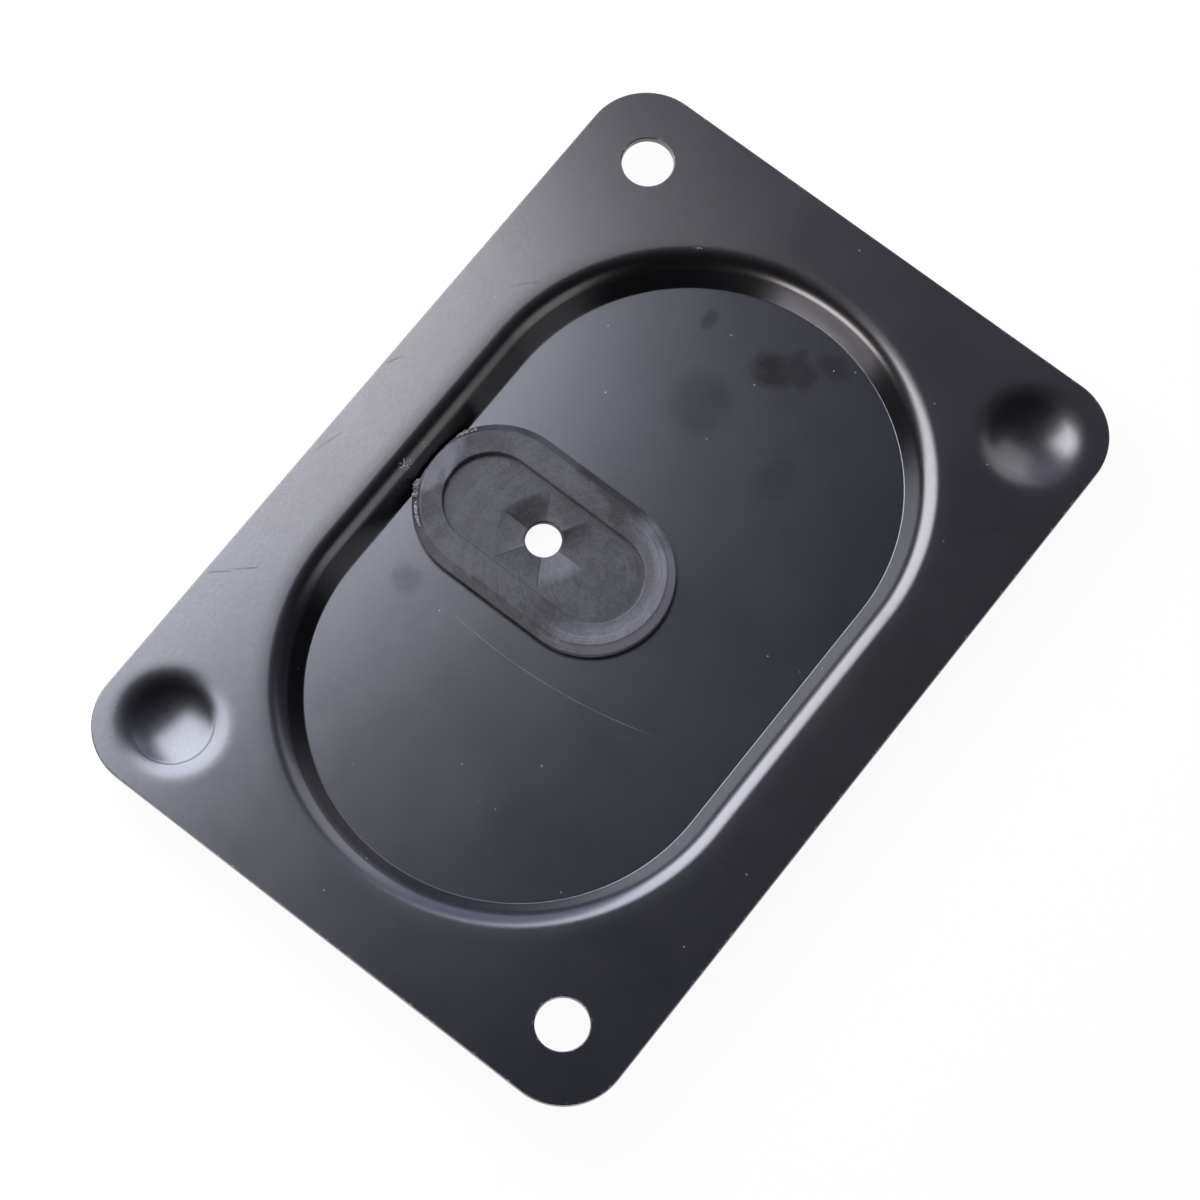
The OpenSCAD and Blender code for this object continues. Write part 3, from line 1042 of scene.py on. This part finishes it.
def rubber_material():
    """Dark moulded rubber with a faint grey bloom, fine turning marks from the mould's face, and painted
    light and shade on its facets, creases and right-hand end.
    """
    material = bpy.data.materials.new("moulded_rubber")
    g = Graph(material)
    place = g.place()
    patchy = g.noise(place, 3.2, 5.0, 0.62)
    grain = g.noise(place, 0.42, 2.0, 0.6)

    # The funnel's facets get tones of their own, partly bloom and partly painted light and shade of their
    # tilts; the right-hand end's rim is lighter, partly thicker bloom and partly painted highlight.
    away = g.vector("SUBTRACT", place, Vector((GROMMET_X / MM, 0, 0)))
    parts = g.add("SeparateXYZ", Vector=away).outputs
    turn = g.sum("DIVIDE", g.sum("ARCTAN2", parts["Y"], parts["X"]), 2 * math.pi)
    facets = g.add("ValToRGB", Fac=g.sum("ADD", turn, 0.5))
    facets.color_ramp.interpolation = "CONSTANT"
    stops = facets.color_ramp.elements
    for k, tone in enumerate(FACET_BLOOM_AND_SHADE):
        stop = stops[k] if k < 2 else stops.new(k / 6)
        stop.position = k / 6
        stop.color = (tone, tone, tone, 1)
    flat = g.vector("MULTIPLY", away, Vector((1, 1, 0)))
    in_funnel = g.fade(g.vector("LENGTH", flat), 6.2, 8.8, 1.0, 0.0)
    bloom = g.blend(in_funnel, (BLOOM, BLOOM, BLOOM), facets.outputs[0])
    # Painted shade: the rubber darkens evenly towards +Y
    bloom = g.sum("SUBTRACT", bloom, g.product(parts["Y"], 0.004))
    away = g.vector("SUBTRACT", place, Vector((*SWIRL_CENTRE, 0)))
    parts = g.add("SeparateXYZ", Vector=away).outputs
    radius = g.vector("LENGTH", g.vector("MULTIPLY", away, Vector((1, 1, 0))))
    # Painted highlight, partly bloom: the rim and bevel of the right-hand end are lighter
    rim = g.product(g.fade(radius, 8.0, 13.6), g.fade(parts["X"], -2.0, 5.0))
    bevel = g.product(g.fade(radius, 12.9, 13.5), g.fade(parts["X"], 4.0, 13.0))
    bloom = g.sum("ADD", bloom, g.sum("ADD", g.product(rim, 0.75), g.product(bevel, 0.45)))

    arcs = 0.0
    for centre, share in SWIRLS:
        away = g.vector("SUBTRACT", place, Vector((*centre, 0)))
        radius = g.vector("LENGTH", g.vector("MULTIPLY", away, Vector((1, 1, 0))))
        row = g.add("CombineXYZ", X=g.product(radius, 2.6), Y=g.product(patchy, 3.0)).outputs[0]
        lines = g.fade(g.noise(row, 1.0, 2.0, 0.6), 0.38, 0.62, -share, share)
        arcs = g.sum("ADD", arcs, lines)
    swirl = g.product(arcs, g.sum("ADD", g.product(rim, 0.8), 0.2), g.fade(patchy, 0.3, 0.5, 0.3, 1.0))

    shift = g.add("TexNoise", Vector=place, Scale=0.4, Detail=2.0)
    shift = g.vector("SUBTRACT", shift.outputs["Color"], (0.5, 0.5, 0.5))
    ragged = g.vector("ADD", place, g.scaled(shift, 4.0))
    # Bloom patches; the ones that take bloom away are painted shade
    for patch in BLOOM_AND_SHADE_PATCHES:
        bloom = g.sum("ADD", bloom, g.blob(ragged, *patch))
    bloom = g.sum("ADD", bloom, g.fade(patchy, 0.28, 0.72, -0.10, 0.10))
    bloom = g.sum("ADD", bloom, g.fade(grain, 0.28, 0.72, -0.08, 0.08))
    bloom = g.sum("MINIMUM", bloom, 1.0)
    bloom = g.sum("ADD", bloom, g.product(swirl, 0.30), clamp=True)
    torn = g.add("Attribute", {"attribute_name": "wear"}).outputs["Fac"]
    colour = g.blend(bloom, RUBBER_DARK, RUBBER_LIGHT)
    # Painted highlight on the right-hand bevel, partly bloom
    colour = g.blend(g.product(bevel, 0.55), colour, BEVEL_BLOOM_AND_HIGHLIGHT)
    colour = g.blend(g.product(torn, g.fade(grain, 0.4, 0.6)), colour, TORN_COLOUR)
    # Painted shade: dark lines along the funnel's creases
    creases = g.largest([
        g.scratch(place, *line, 0.0, CREASE_SHADE_W, CREASE_SHADE_DARK) for line in funnel_creases()
    ])
    colour = g.blend(creases, colour, RUBBER_DARK)
    colour = g.blend(g.product(g.specks(place, 3.0, 0.13, 0.35), 0.8), colour, RUBBER_DUST_COLOUR)
    rough = g.sum("SUBTRACT", g.fade(patchy, 0.3, 0.7, 0.40, 0.50), g.product(swirl, 0.06))
    height = g.sum("ADD", g.product(grain, 0.5), g.product(patchy, 1.4))
    bump = g.add("Bump", Strength=1.0, Distance=RUBBER_GRAIN_HEIGHT, Height=height).outputs[0]
    shader = g.add(
        "BsdfPrincipled", Base_Color=colour, Roughness=rough, Specular_IOR_Level=0.35, Normal=bump
    )
    g.add("OutputMaterial", Surface=shader.outputs[0])
    return material


def floor_material():
    """White ground: plain white to the camera and in reflections, but with the object's soft shadow."""
    material = bpy.data.materials.new("white_ground")
    g = Graph(material)
    rays = g.add("LightPath").outputs
    seen = g.sum("MAXIMUM", rays["Is Camera Ray"], rays["Is Glossy Ray"])
    seen = g.sum("MAXIMUM", seen, rays["Is Transmission Ray"])
    matt = g.add("BsdfDiffuse", Color=(GROUND_GREY, GROUND_GREY, GROUND_GREY, 1))
    glow = g.add("Emission", Color=(1, 1, 1, 1), Strength=1.0)
    share = g.add("MixShader", Fac=g.sum("MULTIPLY", seen, FLOOR_WHITE_SHARE))
    g.put(share.inputs[1], matt.outputs[0])
    g.put(share.inputs[2], glow.outputs[0])
    g.add("OutputMaterial", Surface=share.outputs[0])
    return material


def build_floor():
    half = GROUND_HALF
    corners = [(-half, -half), (half, -half), (half, half), (-half, half)]
    mesh = bpy.data.meshes.new("ground")
    mesh.from_pydata([(x, y, -CONTACT_GAP) for x, y in corners], [], [(0, 1, 2, 3)])
    mesh.materials.append(floor_material())
    ground = bpy.data.objects.new("ground", mesh)
    bpy.context.scene.collection.objects.link(ground)


def build_world():
    """White to the camera; for the object a dark studio with a broad glow low behind it."""
    world = bpy.data.worlds.new("studio")
    bpy.context.scene.world = world
    g = Graph(world)
    rays = g.add("LightPath").outputs
    way = g.vector("NORMALIZE", g.add("TexCoord").outputs["Generated"])
    near = g.sum("SUBTRACT", g.vector("DOT_PRODUCT", way, GLOW_WAY), 1.0)
    glow = g.sum("EXPONENT", g.product(near, GLOW_FOCUS))
    parts = g.add("SeparateXYZ", Vector=way).outputs
    band = g.product(g.fade(parts["Z"], 0.0, HORIZON_TOP, 1.0, 0.0), g.fade(parts["X"], 0.75, 0.97, 1.0, 0.0))
    sky = g.vector("ADD", g.scaled(GLOW_COLOUR, glow), STUDIO_COLOUR)
    sky = g.vector("ADD", sky, g.scaled(HORIZON_COLOUR, band))
    colour = g.blend(rays["Is Camera Ray"], sky, (1.0, 1.0, 1.0))
    back = g.add("Background", Color=colour, Strength=1.0)
    g.add("OutputWorld", Surface=back.outputs[0])


def build_softbox(name, place, width, height, radiance, colour):
    """A soft rectangular lamp that faces the middle of the plate."""
    target = Vector((0, 0, FLANGE_Z))
    sight = -Vector(place).normalized()
    across = Vector((0, 0, 1)).cross(sight).normalized()
    upright = (-sight).cross(across)
    data = bpy.data.lights.new(name, "AREA")
    data.shape = "RECTANGLE"
    data.size = width
    data.size_y = height
    data.energy = radiance * math.pi * width * height
    data.color = colour
    lamp = bpy.data.objects.new(name, data)
    turn = Matrix((across, upright, -sight)).transposed()
    lamp.matrix_world = Matrix.Translation(target + Vector(place)) @ turn.to_4x4()
    lamp.visible_camera = False
    bpy.context.scene.collection.objects.link(lamp)


bpy.context.scene.view_settings.view_transform = "Standard"
build_camera()
build_world()
build_floor()
for softbox in SOFTBOXES:
    build_softbox(*softbox)
plate = build_plate()
plate.data.materials.append(paint_material())
grommet = build_grommet()
flash = build_flash()
rubber = rubber_material()
grommet.data.materials.append(rubber)
flash.data.materials.append(rubber)
for piece, slot in ((plate, "black_paint"), (grommet, "black_rubber"), (flash, "black_rubber")):
    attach(piece, "root")
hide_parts("cover_plate")
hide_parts("rubber_grommet")
